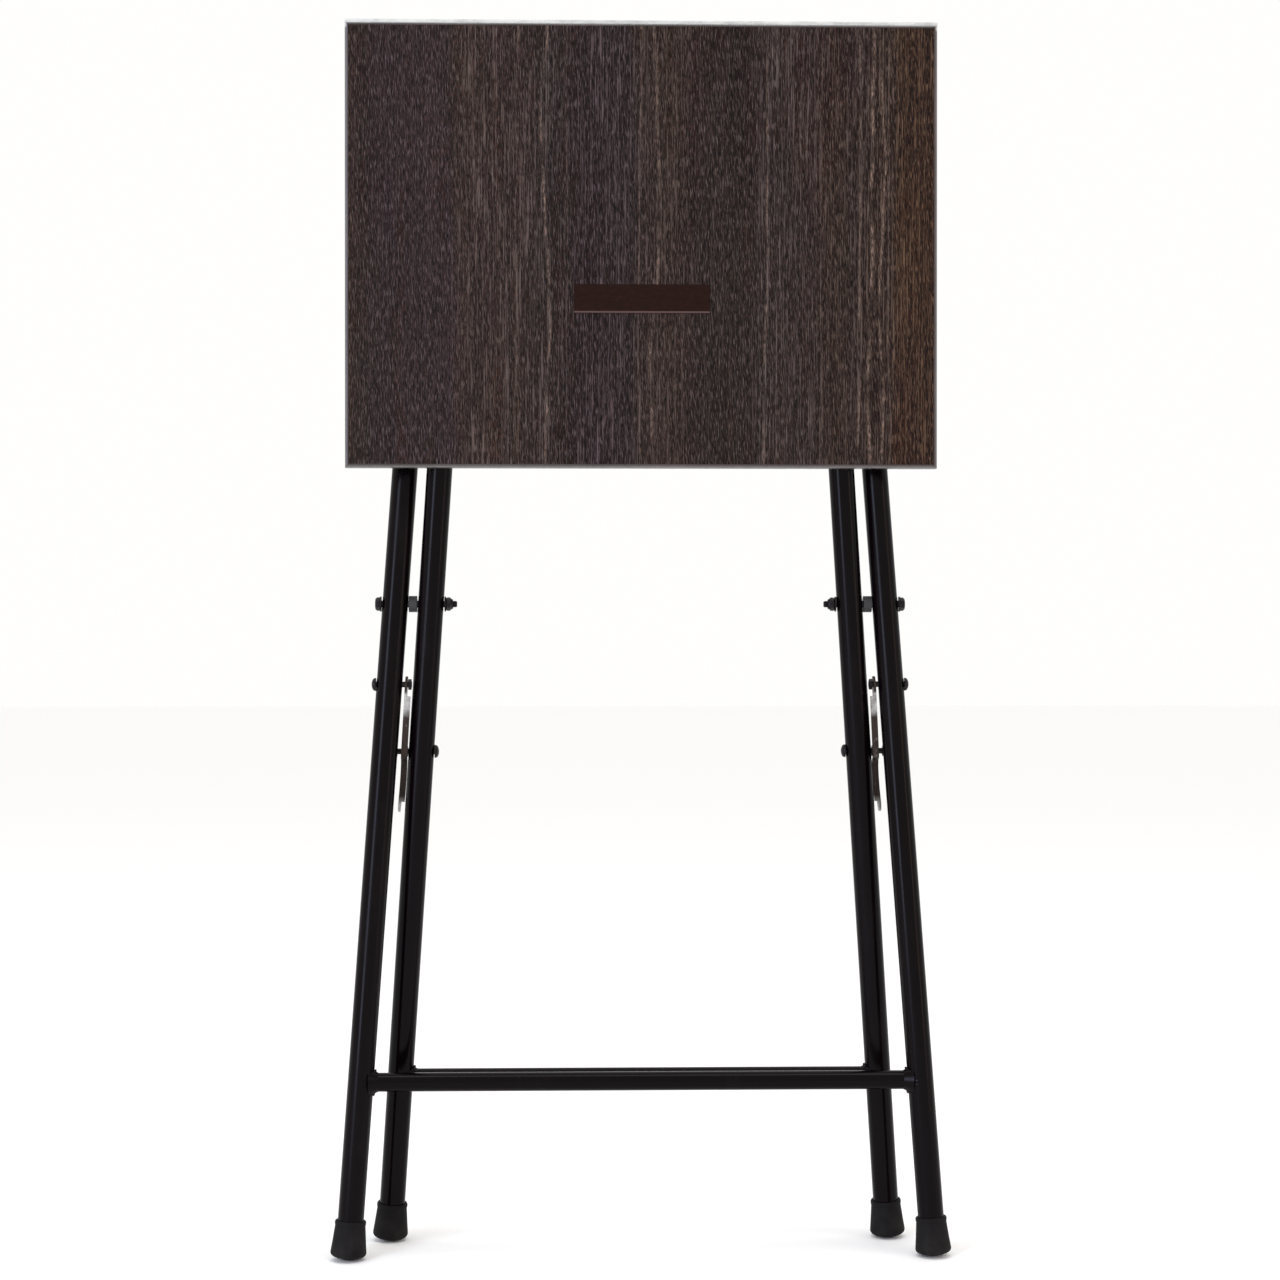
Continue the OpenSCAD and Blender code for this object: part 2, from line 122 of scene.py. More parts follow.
def amount(name, default, what, high=1.0):
    return FloatProperty(name=name, description=what, default=default, min=0.0, max=high)


def length(name, default, what, low=0.0, high=10.0):
    return FloatProperty(
        name=name,
        description=what,
        default=default,
        min=low,
        max=high,
        subtype="DISTANCE",
        unit="LENGTH",
    )


class TrayTopSettings(PropertyGroup):
    """Colours and sheen of the board, its edging and its blank label."""

    wood_tone: colour("Wood tone", (0.0146, 0.0080, 0.0064), "Main colour of the laminate")
    growth_tone: colour(
        "Growth line tone", (0.135, 0.090, 0.070), "Colour of the thin growth lines"
    )
    pore_tone: colour("Pore tone", (0.1080, 0.0815, 0.0740), "Colour of the fine light pores")
    furrow_tone: colour(
        "Furrow tone", (0.0060, 0.0035, 0.0032), "Colour of the dark furrows between pores"
    )
    warm_tint: colour("Warm tint", (1.0, 0.70, 0.48), "Tint of the warmer patches")
    violet_tint: colour("Violet tint", (0.90, 0.74, 1.0), "Tint of the cooler patches")
    olive_tint: colour("Olive tint", (0.82, 0.92, 0.60), "Tint of the thin olive streaks")
    board_roughness: amount("Board roughness", 0.46, "How dull the laminate is")
    board_gloss: amount("Board gloss", 0.10, "Strength of the laminate's reflections")
    grain_depth: length("Grain depth", 0.00022, "Depth of the embossed grain", high=0.002)
    edging_tone: colour("Edging", (0.045, 0.034, 0.032), "Colour of the edge bands")
    # Pale tone of the edge bands' rounded corners and of the top lip: a painted highlight,
    # strongest along the top
    edge_highlight_tone: colour(
        "Rubbed edge", (0.46, 0.46, 0.44), "Colour of the rubbed corners of the edge bands"
    )
    lip_height: length(
        "Top lip", 0.0024, "Height and rounding of the pale lip along the top", high=0.005
    )
    edging_roughness: amount("Edging roughness", 0.3, "How dull the edge bands are")
    underside_tone: colour("Underside", (0.020, 0.015, 0.014), "Colour of the backing sheet")
    label_tone: colour("Label", (0.0130, 0.0042, 0.0026), "Colour of the blank label")
    # Lighter lower rim of the label: a painted highlight
    label_rim_highlight_tone: colour("Label rim", (0.085, 0.050, 0.048), "Colour of the label's lower rim")


class TrayFrameSettings(PropertyGroup):
    """Paint of the tubes and the rubber of the feet."""

    paint_tone: colour("Paint", (0.0024, 0.0012, 0.0018), "Colour of the frame's paint")
    paint_roughness: amount("Paint roughness", 0.16, "How dull the paint is")
    paint_gloss: amount("Paint gloss", 0.075, "Strength of the paint's reflections")
    rubber_tone: colour("Rubber", (0.0045, 0.0038, 0.0042), "Colour of the rubber feet")
    dust_tone: colour("Dust", (0.030, 0.026, 0.024), "Colour of the dust on the feet")
    weld_radius: length("Weld radius", 0.0016, "Half thickness of the weld beads", high=0.005)
    weld_ripples: IntProperty(
        name="Weld ripples", description="Ripples round each weld bead", default=22, min=6, max=60
    )


class TrayHardwareSettings(PropertyGroup):
    """Metal and plastic of the bolts, stays, straps and catches."""

    dark_steel_tone: colour("Dark steel", (0.016, 0.014, 0.015), "Colour of the blackened bolts")
    stay_tone: colour("Stay steel", (0.035, 0.026, 0.022), "Colour of the browned stay strips")
    # Pale bare steel of the stays: rubbed wear, and near the upper end and the tip also a painted
    # glint
    bare_steel_and_glint_tone: colour(
        "Bare steel", (0.42, 0.41, 0.40), "Colour of the stays where they are rubbed bare"
    )
    bright_steel_tone: colour(
        "Bright steel", (0.52, 0.52, 0.50), "Colour of the plated straps and screws"
    )
    nylon_tone: colour("Nylon", (0.62, 0.60, 0.55), "Colour of the strap liners")
    plastic_tone: colour("Plastic", (0.016, 0.016, 0.017), "Colour of the catches and spacers")
    thread_pitch: length(
        "Thread pitch", 0.0010, "Pitch of the pivot bolts' thread", low=0.0005, high=0.002
    )
    thread_length: length(
        "Thread length", 0.0140, "Length of the pivot bolts' thread", low=0.005, high=0.03
    )


class TrayStageSettings(PropertyGroup):
    """Floor, lights and camera."""

    floor_tone: colour("Floor", (0.965, 0.962, 0.955), "Colour of the floor")
    air_tone: colour("Air", (1.0, 0.995, 0.985), "Colour of the soft light all round")
    air_strength: amount("Air strength", 1.0, "Strength of the soft light all round", high=5.0)
    camera_lens: FloatProperty(
        name="Lens", description="Focal length in millimetres", default=68.86, min=10.0, max=300.0
    )
    camera_distance: length("Camera distance", 2.1043, "Distance in front of the pivots")
    camera_height: length("Camera height", 0.5363, "Height above the floor")
    camera_side: length("Camera side", -0.0586, "Sideways place of the camera", low=-5.0)
    camera_turn: FloatProperty(
        name="Turn", description="Turn to the right", default=math.radians(1.579), subtype="ANGLE"
    )
    camera_tilt: FloatProperty(
        name="Tilt", description="Tilt up", default=math.radians(-0.358), subtype="ANGLE"
    )


# ---- material helpers ----


class Shading:
    """Builds one material's nodes in order."""

    def __init__(self, name):
        self.material = bpy.data.materials.new(name)
        self.material.use_nodes = True
        self.tree = self.material.node_tree
        self.shader = self.tree.nodes["Principled BSDF"]
        self.place = self.add("ShaderNodeTexCoord").outputs["Object"]

    def add(self, kind, **settings):
        node = self.tree.nodes.new(kind)
        for key, value in settings.items():
            setattr(node, key, value)
        return node

    def join(self, source, target):
        self.tree.links.new(source, target)

    def feed(self, socket, value):
        if isinstance(value, bpy.types.NodeSocket):
            self.join(value, socket)
        else:
            socket.default_value = value

    def stretch(self, scale, lean=0.0):
        """Places scaled along each axis, after leaning them about Y."""
        source = self.place
        if lean:
            turn = self.add("ShaderNodeMapping")
            turn.inputs["Rotation"].default_value = (0.0, lean, 0.0)
            self.join(source, turn.inputs["Vector"])
            source = turn.outputs["Vector"]
        node = self.add("ShaderNodeMapping")
        node.inputs["Scale"].default_value = scale
        self.join(source, node.inputs["Vector"])
        return node.outputs["Vector"]

    def noise(self, scale, stretch=(1, 1, 1), detail=2.0, roughness=0.5, distortion=0.0, lean=0.0):
        node = self.add("ShaderNodeTexNoise")
        self.join(self.stretch(stretch, lean), node.inputs["Vector"])
        node.inputs["Scale"].default_value = scale
        node.inputs["Detail"].default_value = detail
        node.inputs["Roughness"].default_value = roughness
        node.inputs["Distortion"].default_value = distortion
        return node.outputs["Fac"]

    def wander(self, along, scale, seed):
        """A smooth random value that changes along one axis only."""
        node = self.add("ShaderNodeTexNoise", noise_dimensions="1D")
        self.join(self.calc("ADD", along, seed), node.inputs["W"])
        node.inputs["Scale"].default_value = scale
        return node.outputs["Fac"]

    def calc(self, operation, a, b=0.0, c=0.0, clamp=False):
        node = self.add("ShaderNodeMath", operation=operation, use_clamp=clamp)
        for socket, value in zip(node.inputs, (a, b, c)):
            self.feed(socket, value)
        return node.outputs[0]

    def fit(self, value, low, high, to_low=0.0, to_high=1.0):
        node = self.add("ShaderNodeMapRange", clamp=True)
        self.join(value, node.inputs["Value"])
        keys = ("From Min", "From Max", "To Min", "To Max")
        for key, number in zip(keys, (low, high, to_low, to_high)):
            node.inputs[key].default_value = number
        return node.outputs["Result"]

    def mix(self, factor, a, b, blend="MIX"):
        node = self.add("ShaderNodeMix", data_type="RGBA", blend_type=blend)
        self.feed(node.inputs["Factor"], factor)
        self.feed(node.inputs["A"], rgba(a))
        self.feed(node.inputs["B"], rgba(b))
        return node.outputs["Result"]

    def ramp(self, factor, stops):
        node = self.add("ShaderNodeValToRGB")
        band = node.color_ramp
        band.interpolation = "LINEAR"
        while len(band.elements) < len(stops):
            band.elements.new(1.0)
        for element, (place, tone) in zip(band.elements, stops):
            element.position = place
            element.color = rgba(tone)
        self.join(factor, node.inputs["Fac"])
        return node.outputs["Color"]

    def tinted(self, tone, noise, low, middle, high):
        """A tone multiplied by a noise that runs from low through middle to high."""
        stops = [(0.3, grey(low)), (0.5, grey(middle)), (0.7, grey(high))]
        return self.mix(1.0, tone, self.ramp(noise, stops), "MULTIPLY")

    def axis(self, letter):
        node = self.add("ShaderNodeSeparateXYZ")
        self.join(self.place, node.inputs["Vector"])
        return node.outputs[letter]

    def bump(self, height, distance, strength=1.0):
        node = self.add("ShaderNodeBump")
        node.inputs["Strength"].default_value = strength
        node.inputs["Distance"].default_value = distance
        self.join(height, node.inputs["Height"])
        self.join(node.outputs["Normal"], self.shader.inputs["Normal"])

    def set(self, **values):
        for key, value in values.items():
            socket = self.shader.inputs[key.replace("_", " ")]
            if key == "Base_Color":
                value = rgba(value)
            self.feed(socket, value)


def rgba(value):
    if isinstance(value, bpy.types.NodeSocket):
        return value
    return (*tuple(value)[:3], 1.0)


def shade(value, factor):
    return tuple(min(1.0, part * factor) for part in tuple(value)[:3])


def grey(value):
    return (value,) * 3


def warmed(value, light, warmth):
    """A tone made lighter or darker, then warmer (towards brown) or cooler (towards violet)."""
    red, green, blue = tuple(value)[:3]
    brown, violet = max(warmth, 0.0), max(-warmth, 0.0)
    return (
        red * light * (1.0 + 0.14 * brown),
        green * light * (1.0 - 0.05 * brown - 0.09 * violet),
        blue * light * (1.0 - 0.28 * brown + 0.12 * violet),
    )


# Staves of the printed wood, as (place across from the left, brightness, warmth)
STAVES = (
    (0.000, 1.00, 0.60),
    (0.030, 0.98, 0.10),
    (0.060, 1.04, -0.60),
    (0.175, 1.10, -0.75),
    (0.188, 1.20, 0.30),
    (0.300, 1.12, 0.20),
    (0.340, 0.84, 0.00),
    (0.400, 0.70, -0.80),
    (0.480, 0.72, -0.60),
    (0.500, 0.96, 0.20),
    (0.560, 1.00, 0.35),
    (0.610, 0.74, 0.15),
    (0.692, 0.66, 0.25),
    (0.704, 1.04, 0.00),
    (0.790, 1.08, 0.10),
    (0.830, 0.98, 0.60),
    (0.870, 0.80, 0.20),
    (0.900, 0.92, 0.60),
    (0.925, 0.90, 0.50),
    (0.940, 1.02, 1.25),
    (1.000, 0.90, 1.30),
)
# How strongly the long straight pores show, as (place across, strength)
LONG_PORES = (
    (0.00, 0.15), (0.17, 0.20), (0.21, 1.00), (0.35, 0.85),
    (0.37, 0.35), (0.41, 0.90), (0.47, 0.75), (0.51, 0.70),
    (0.56, 0.60), (0.60, 0.25), (0.69, 0.25), (0.71, 1.00),
    (0.79, 0.80), (0.84, 0.60), (0.93, 0.90), (1.00, 0.60),
)
# Growth lines, as (place across, sway, width, strength, seed)
GROWTH_LINES = (
    (0.288, 0.020, 0.0022, 0.35, 3.1),
    (0.334, 0.040, 0.0034, 0.85, 8.4),
    (0.372, 0.018, 0.0018, 0.30, 1.7),
    (0.496, 0.012, 0.0022, 0.45, 5.5),
    (0.520, 0.044, 0.0038, 0.70, 9.2),
    (0.556, 0.020, 0.0018, 0.25, 2.6),
    (0.712, 0.018, 0.0028, 0.70, 7.3),
    (0.806, 0.016, 0.0020, 0.30, 4.8),
    (0.872, 0.020, 0.0030, 0.75, 6.1),
    (0.893, 0.034, 0.0044, 1.00, 0.6),
    (0.909, 0.034, 0.0034, 0.95, 0.9),
    (0.922, 0.022, 0.0020, 0.50, 3.9),
)


def laminate_material(settings):
    """Dark streaked laminate: grain along Z, tone changing across X, plain backing behind."""
    s = Shading("dark_laminate")
    across = s.calc("MULTIPLY", s.calc("SUBTRACT", s.axis("X"), BOARD_LOW.x), 1.0 / BOARD_WIDTH)
    along = s.axis("Z")
    drift = s.fit(s.noise(9.0, (1.0, 1.0, 0.35), detail=3.0), 0.3, 0.7, -0.012, 0.012)
    place = s.calc("ADD", across, drift)
    woods = [(at, warmed(settings.wood_tone, light, warmth)) for at, light, warmth in STAVES]
    tone = s.ramp(place, woods)
    long_strength = s.ramp(place, [(at, grey(share)) for at, share in LONG_PORES])

    for scale, stretch, strength, tint in (
        (13.0, 0.16, 0.75, settings.warm_tint),
        (15.0, 0.18, 0.85, settings.violet_tint),
        (62.0, 0.09, 0.65, settings.warm_tint),
        (71.0, 0.08, 0.55, settings.olive_tint),
    ):
        patches = s.noise(scale, (1.0, 0.02, stretch), distortion=0.3)
        patch = s.fit(patches, 0.54, 0.66, 0.0, strength)
        tone = s.mix(patch, tone, s.mix(1.0, tone, tint, "MULTIPLY"))
    bands = s.noise(120.0, (1.0, 0.02, 0.03), detail=4.0, roughness=0.65, distortion=0.2)
    tone = s.tinted(tone, bands, 0.68, 1.0, 1.30)

    for centre, sway, width, strength, seed in GROWTH_LINES:
        wander = s.wander(along, 4.2, seed)
        middle = s.calc("MULTIPLY_ADD", wander, sway, centre - sway / 2)
        gap = s.calc("ABSOLUTE", s.calc("SUBTRACT", across, middle))
        broken = s.fit(s.wander(along, 19.0, seed + 20.0), 0.40, 0.56, 0.15, 1.0)
        line = s.calc("MULTIPLY", s.fit(gap, 0.0, width, strength, 0.0), broken)
        tone = s.mix(line, tone, settings.growth_tone)

    fibres = s.noise(1080.0, (1.0, 0.02, 0.17), detail=2.0, roughness=0.7)
    tone = s.tinted(tone, fibres, 0.0, 0.72, 2.45)
    flecks = s.noise(1180.0, (1.0, 0.02, 0.095), detail=2.0, roughness=0.6, lean=0.05)
    fleck = s.fit(flecks, 0.53, 0.68, 0.0, 0.85)
    long_pores = s.noise(900.0, (1.0, 0.02, 0.018), detail=2.0, roughness=0.6)
    pore_breaks = s.fit(s.noise(300.0, (1.0, 0.02, 0.3)), 0.4, 0.55, 0.25, 1.0)
    long_share = s.calc("MULTIPLY", long_strength, pore_breaks)
    long_pore = s.calc("MULTIPLY", s.fit(long_pores, 0.54, 0.66, 0.0, 1.0), long_share)
    furrow = s.calc("MULTIPLY", s.fit(long_pores, 0.45, 0.32, 0.0, 0.8), long_share)
    tone = s.mix(furrow, tone, settings.furrow_tone)
    pore = s.calc("MAXIMUM", fleck, long_pore)
    hues = [(at, warmed(grey(0.85), 1.0, 1.1 * warmth)) for at, _, warmth in STAVES]
    pore_tone = s.mix(1.0, settings.pore_tone, s.ramp(place, hues), "MULTIPLY")
    tone = s.mix(pore, tone, pore_tone)

    behind = s.fit(s.axis("Y"), BOARD_HIGH.y - 0.0006, BOARD_HIGH.y - 0.0003)
    speckle = s.noise(520.0, detail=3.0)
    backing = s.tinted(settings.underside_tone, speckle, 0.7, 1.0, 1.35)
    rubbed = s.noise(7.0, detail=4.0, roughness=0.6)
    roughness = s.calc("ADD", s.fit(rubbed, 0.3, 0.7, -0.06, 0.06), settings.board_roughness)
    roughness = s.calc("ADD", roughness, s.calc("MULTIPLY", pore, 0.2), clamp=True)
    s.set(Base_Color=s.mix(behind, tone, backing), Roughness=roughness)
    s.set(Specular_IOR_Level=settings.board_gloss)
    height = s.calc("SUBTRACT", s.calc("MULTIPLY", fibres, 0.6), s.calc("MULTIPLY", pore, 0.8))
    s.bump(height, settings.grain_depth, 0.5)
    return s.material


def edging_material(settings):
    """Smooth plastic edging, paler on its rounded corners: a painted highlight, strongest along the
    top and broken up by scuffs.
    """
    s = Shading("board_edging")
    streaks = s.noise(210.0, (0.08, 1.0, 0.08), detail=4.0)
    tone = s.tinted(settings.edging_tone, streaks, 0.75, 1.0, 1.25)
    facing = s.add("ShaderNodeSeparateXYZ")
    s.join(s.add("ShaderNodeTexCoord").outputs["Normal"], facing.inputs["Vector"])
    inward = s.calc("ABSOLUTE", facing.outputs["Y"])
    # Painted highlight: rounded corners, picked by their object-space normal, are paler, most of
    # all along the top where light from above falls
    corner = s.calc("MULTIPLY", s.fit(inward, 0.12, 0.35), s.fit(inward, 0.98, 0.8))
    scuffs = s.noise(140.0, detail=5.0, roughness=0.7)
    on_top = s.fit(s.axis("Z"), BOARD_HIGH.z - 0.003, BOARD_HIGH.z - 0.001, 0.22, 1.0)
    corner = s.calc("MULTIPLY", corner, on_top)
    # The painted highlight on the corners is broken up by the scuffs
    rubbed = s.calc("MULTIPLY", corner, s.fit(scuffs, 0.25, 0.6, 0.6, 1.0))
    tone = s.mix(rubbed, tone, settings.edge_highlight_tone)
    roughness = s.calc("ADD", s.fit(scuffs, 0.35, 0.75, -0.04, 0.12), settings.edging_roughness)
    s.set(Base_Color=tone, Roughness=roughness, Specular_IOR_Level=0.4)
    s.bump(scuffs, 0.00005, 0.4)
    return s.material


def lip_material(settings):
    """Pale plastic with small scuffs; the pale tone is a painted highlight along the board's top
    edge.
    """
    s = Shading("pale_lip")
    scuffs = s.noise(140.0, (0.3, 1.0, 1.0), detail=5.0, roughness=0.7)
    # The lip's pale tone is the painted highlight of the top edge
    tone = s.tinted(settings.edge_highlight_tone, scuffs, 0.7, 1.0, 1.2)
    s.set(Base_Color=tone, Roughness=0.5, Specular_IOR_Level=0.2)
    s.bump(scuffs, 0.00005, 0.4)
    return s.material


def label_material(settings):
    """Blank label: smooth and dark, with a lighter rim along its lower edge that is a painted
    highlight.
    """
    s = Shading("blank_label")
    grain = s.noise(240.0, (1.0, 0.05, 3.0), detail=3.0)
    tone = s.tinted(settings.label_tone, grain, 0.75, 1.0, 1.3)
    # Painted highlight: a lighter rim along the label's lower edge, where light from above would
    # catch it
    rim_height = 0.0016
    rim = s.fit(s.axis("Z"), LABEL_LOW.z + rim_height, LABEL_LOW.z + rim_height + 0.0002, 1.0, 0.0)
    foot = s.fit(s.axis("Z"), LABEL_LOW.z + 0.0002, LABEL_LOW.z + 0.0004)
    tone = s.mix(s.calc("MULTIPLY", rim, foot), tone, settings.label_rim_highlight_tone)
    s.set(Base_Color=tone, Roughness=0.42, Specular_IOR_Level=0.07)
    s.bump(grain, 0.00004, 0.4)
    return s.material


def paint_material(settings):
    """Gloss black paint with a slight orange peel and a few dusty rubs."""
    s = Shading("black_paint")
    peel = s.noise(340.0, detail=2.0)
    rubs = s.noise(22.0, (1.0, 1.0, 0.35), detail=6.0, roughness=0.68)
    roughness = s.calc("ADD", s.fit(rubs, 0.45, 0.75, 0.0, 0.16), settings.paint_roughness)
    dust = s.fit(rubs, 0.55, 0.85, 0.0, 0.35)
    s.set(Base_Color=s.mix(dust, settings.paint_tone, (0.016, 0.012, 0.012)), Roughness=roughness)
    s.set(Specular_IOR_Level=settings.paint_gloss)
    s.bump(peel, 0.00006, 0.35)
    return s.material


def rubber_material(settings):
    """Matte moulded rubber, dustier towards the floor."""
    s = Shading("foot_rubber")
    grain = s.noise(900.0, detail=3.0)
    dirt = s.noise(70.0, detail=5.0, roughness=0.65)
    low = s.fit(s.axis("Z"), 0.0, 0.03, 0.5, 0.1)
    dusty = s.calc("MULTIPLY", s.fit(dirt, 0.4, 0.75), low)
    tone = s.mix(dusty, settings.rubber_tone, settings.dust_tone)
    s.set(Base_Color=tone, Roughness=0.7, Specular_IOR_Level=0.12)
    s.bump(grain, 0.00012, 0.5)
    return s.material


def metal_material(name, tone, roughness, metallic, wear=(0.16, 0.155, 0.15)):
    """Plated or blackened steel with fine marks and lighter rubbed spots."""
    s = Shading(name)
    marks = s.noise(700.0, detail=3.0, roughness=0.6)
    rubs = s.noise(130.0, detail=5.0, roughness=0.7)
    worn = s.fit(rubs, 0.6, 0.8, 0.0, 0.5)
    rough = s.calc("ADD", s.fit(marks, 0.3, 0.7, -0.06, 0.1), roughness)
    s.set(Base_Color=s.mix(worn, tone, wear), Metallic=metallic, Roughness=rough)
    s.bump(marks, 0.00003, 0.4)
    return s.material


def stay_material(settings):
    """Browned steel strip, bare and bright near its upper end and its tip, where the pale bare
    steel is partly wear and partly a painted glint.
    """
    s = Shading("stay_steel")
    marks = s.noise(600.0, (1.0, 1.0, 0.08), detail=3.0, roughness=0.6)
    rubs = s.noise(150.0, (1.0, 1.0, 0.5), detail=5.0, roughness=0.7)
    low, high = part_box("stay_left")
    span = high.z - low.z
    height = s.axis("Z")
    # Pale bare steel just below the bolt and at the tip: partly wear, partly a painted glint
    below_bolt = s.fit(height, high.z - 0.13 * span, high.z - 0.11 * span, 1.0, 0.0)
    near_top = s.fit(height, high.z - 0.30 * span, high.z - 0.24 * span)
    near_top = s.calc("MULTIPLY", near_top, below_bolt)
    near_tip = s.fit(height, low.z + 0.05 * span, low.z + 0.12 * span, 1.0, 0.0)
    bare = s.calc("MAXIMUM", near_top, near_tip)
    bare = s.calc("MULTIPLY", bare, s.fit(rubs, 0.3, 0.55, 0.3, 1.0))
    bare = s.calc("MAXIMUM", bare, s.fit(rubs, 0.62, 0.75, 0.0, 0.5))
    browned = s.tinted(settings.stay_tone, marks, 0.7, 1.0, 1.4)
    tone = s.mix(bare, browned, settings.bare_steel_and_glint_tone)
    s.set(Base_Color=tone, Metallic=0.85, Roughness=s.fit(marks, 0.3, 0.7, 0.3, 0.5))
    s.bump(marks, 0.00004, 0.4)
    return s.material


def plastic_material(name, tone, roughness):
    """Moulded plastic with a fine spark texture."""
    s = Shading(name)
    spark = s.noise(1300.0, detail=2.0)
    haze = s.noise(45.0, detail=4.0)
    hazed = s.mix(s.fit(haze, 0.45, 0.8, 0.0, 0.4), tone, shade(tone, 1.6))
    s.set(Base_Color=hazed, Roughness=roughness, Specular_IOR_Level=0.45)
    s.bump(spark, 0.00004, 0.5)
    return s.material


def paint_nodes(material, names):
    """Puts one material on the CAD nodes with these names."""
    for name in names:
        mesh = NODES[name].data
        mesh.materials.clear()
        mesh.materials.append(material)


def names_with(*parts):
    return sorted(name for name in NODES if any(part in name for part in parts))


# ---- mesh helpers ----


def new_piece(name, mesh_data, material, body, replaced=()):
    """Links a finished mesh, parents it to the body it rides on, and hides the CAD parts it
    replaces.
    """
    piece = bpy.data.objects.new(name, mesh_data)
    bpy.context.scene.collection.objects.link(piece)
    mesh_data.materials.append(material)
    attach(piece, body)
    if replaced:
        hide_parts(*replaced)


def skin_mesh(name, rings, closed_path=False):
    """A skin over rings of points, each with as many points, joined end to end or capped."""
    mesh = bpy.data.meshes.new(name)
    count = len(rings[0])
    points = [p for ring in rings for p in ring]
    faces = []
    steps = len(rings) if closed_path else len(rings) - 1
    for i in range(steps):
        here, there = i * count, ((i + 1) % len(rings)) * count
        for j in range(count):
            k = (j + 1) % count
            faces.append((here + j, here + k, there + k, there + j))
    if not closed_path:
        faces.append(tuple(reversed(range(count))))
        faces.append(tuple(range((len(rings) - 1) * count, len(rings) * count)))
    mesh.from_pydata([tuple(p) for p in points], [], faces)
    build = bmesh.new()
    build.from_mesh(mesh)
    bmesh.ops.recalc_face_normals(build, faces=build.faces)
    build.to_mesh(mesh)
    build.free()
    mesh.shade_smooth()
    mesh.set_sharp_from_angle(angle=SHARP_EDGE)
    return mesh


def turned_mesh(name, start, direction, centre, profile, closed_path=False):
    """A part on an axis along X: profile is a list of (distance from start, radius at an angle)."""
    rings = []
    for distance, radius_at in profile:
        ring = []
        for step in range(TURN_STEPS):
            angle = 2 * math.pi * step / TURN_STEPS
            radius = radius_at(angle)
            ring.append(
                (
                    start + direction * distance,
                    centre.y + radius * math.cos(angle),
                    centre.z + radius * math.sin(angle),
                )
            )
        rings.append(ring)
    return skin_mesh(name, rings, closed_path)


def round_at(radius):
    """The same radius at every angle."""
    return lambda angle: radius


def hex_at(flats, limit):
    """Radius of a hexagon across its flats, turned down to limit at its corners."""

    def radius(angle):
        from_flat = (angle + math.pi / 6) % (math.pi / 3) - math.pi / 6
        return min(flats / 2 / math.cos(from_flat), limit)

    return radius


def thread_at(distance, pitch):
    """Radius of a screw thread at one distance along its axis."""

    def radius(angle):
        phase = (distance / pitch + angle / (2 * math.pi)) % 1.0
        rise = (1.0 - abs(2.0 * phase - 1.0)) ** 0.8
        return THREAD_ROOT + (SHANK_RADIUS - THREAD_ROOT) * rise

    return radius


def turned_profile(outline):
    """The outline's radii as functions of the angle."""
    return [
        (distance, hex_at(HEX_FLATS, radius) if hexagonal else round_at(radius))
        for distance, radius, hexagonal in outline
    ]


# ---- operators ----


class TRAY_OT_tabletop(Operator):
    """Finish the board, its edge bands and the blank label"""

    bl_idname = "tray.tabletop"
    bl_label = "Tabletop"

    def execute(self, context):
        settings = context.scene.tray_top
        paint_nodes(laminate_material(settings), ["board"])
        paint_nodes(edging_material(settings), names_with("edge_band"))
        paint_nodes(label_material(settings), ["label_plate"])
        self.make_top_lip(settings, lip_material(settings))
        return {"FINISHED"}

    def make_top_lip(self, settings, pale):
        """The rounded lip of the edging along the top of the board, pale with a painted highlight.
        """
        low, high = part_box("edge_band_top")
        lip, sunk = settings.lip_height, 0.001
        front, back, middle = low.y + 0.0001, high.y - 0.0001, (low.y + high.y) / 2
        outline = [(back, high.z - sunk), (front, high.z - sunk)]
        for centre, first in ((front + lip, math.pi), (back - lip, math.pi / 2)):
            for step in range(LIP_STEPS + 1):
                angle = first - math.pi / 2 * step / LIP_STEPS
                outline.append((centre + lip * math.cos(angle), high.z + lip * math.sin(angle)))
        rings = []
        stations = (
            (low.x, 0.0004),
            (low.x + 0.0005, 0.0),
            (high.x - 0.0005, 0.0),
            (high.x, 0.0004),
        )
        for x, inset in stations:
            narrow, lower = 1.0 - inset / (back - middle), 1.0 - inset / lip
            rings.append(
                [
                    (x, middle + (y - middle) * narrow, high.z + (z - high.z) * lower)
                    for y, z in outline
                ]
            )
        new_piece("top_lip", skin_mesh("top_lip", rings), pale, "tabletop")


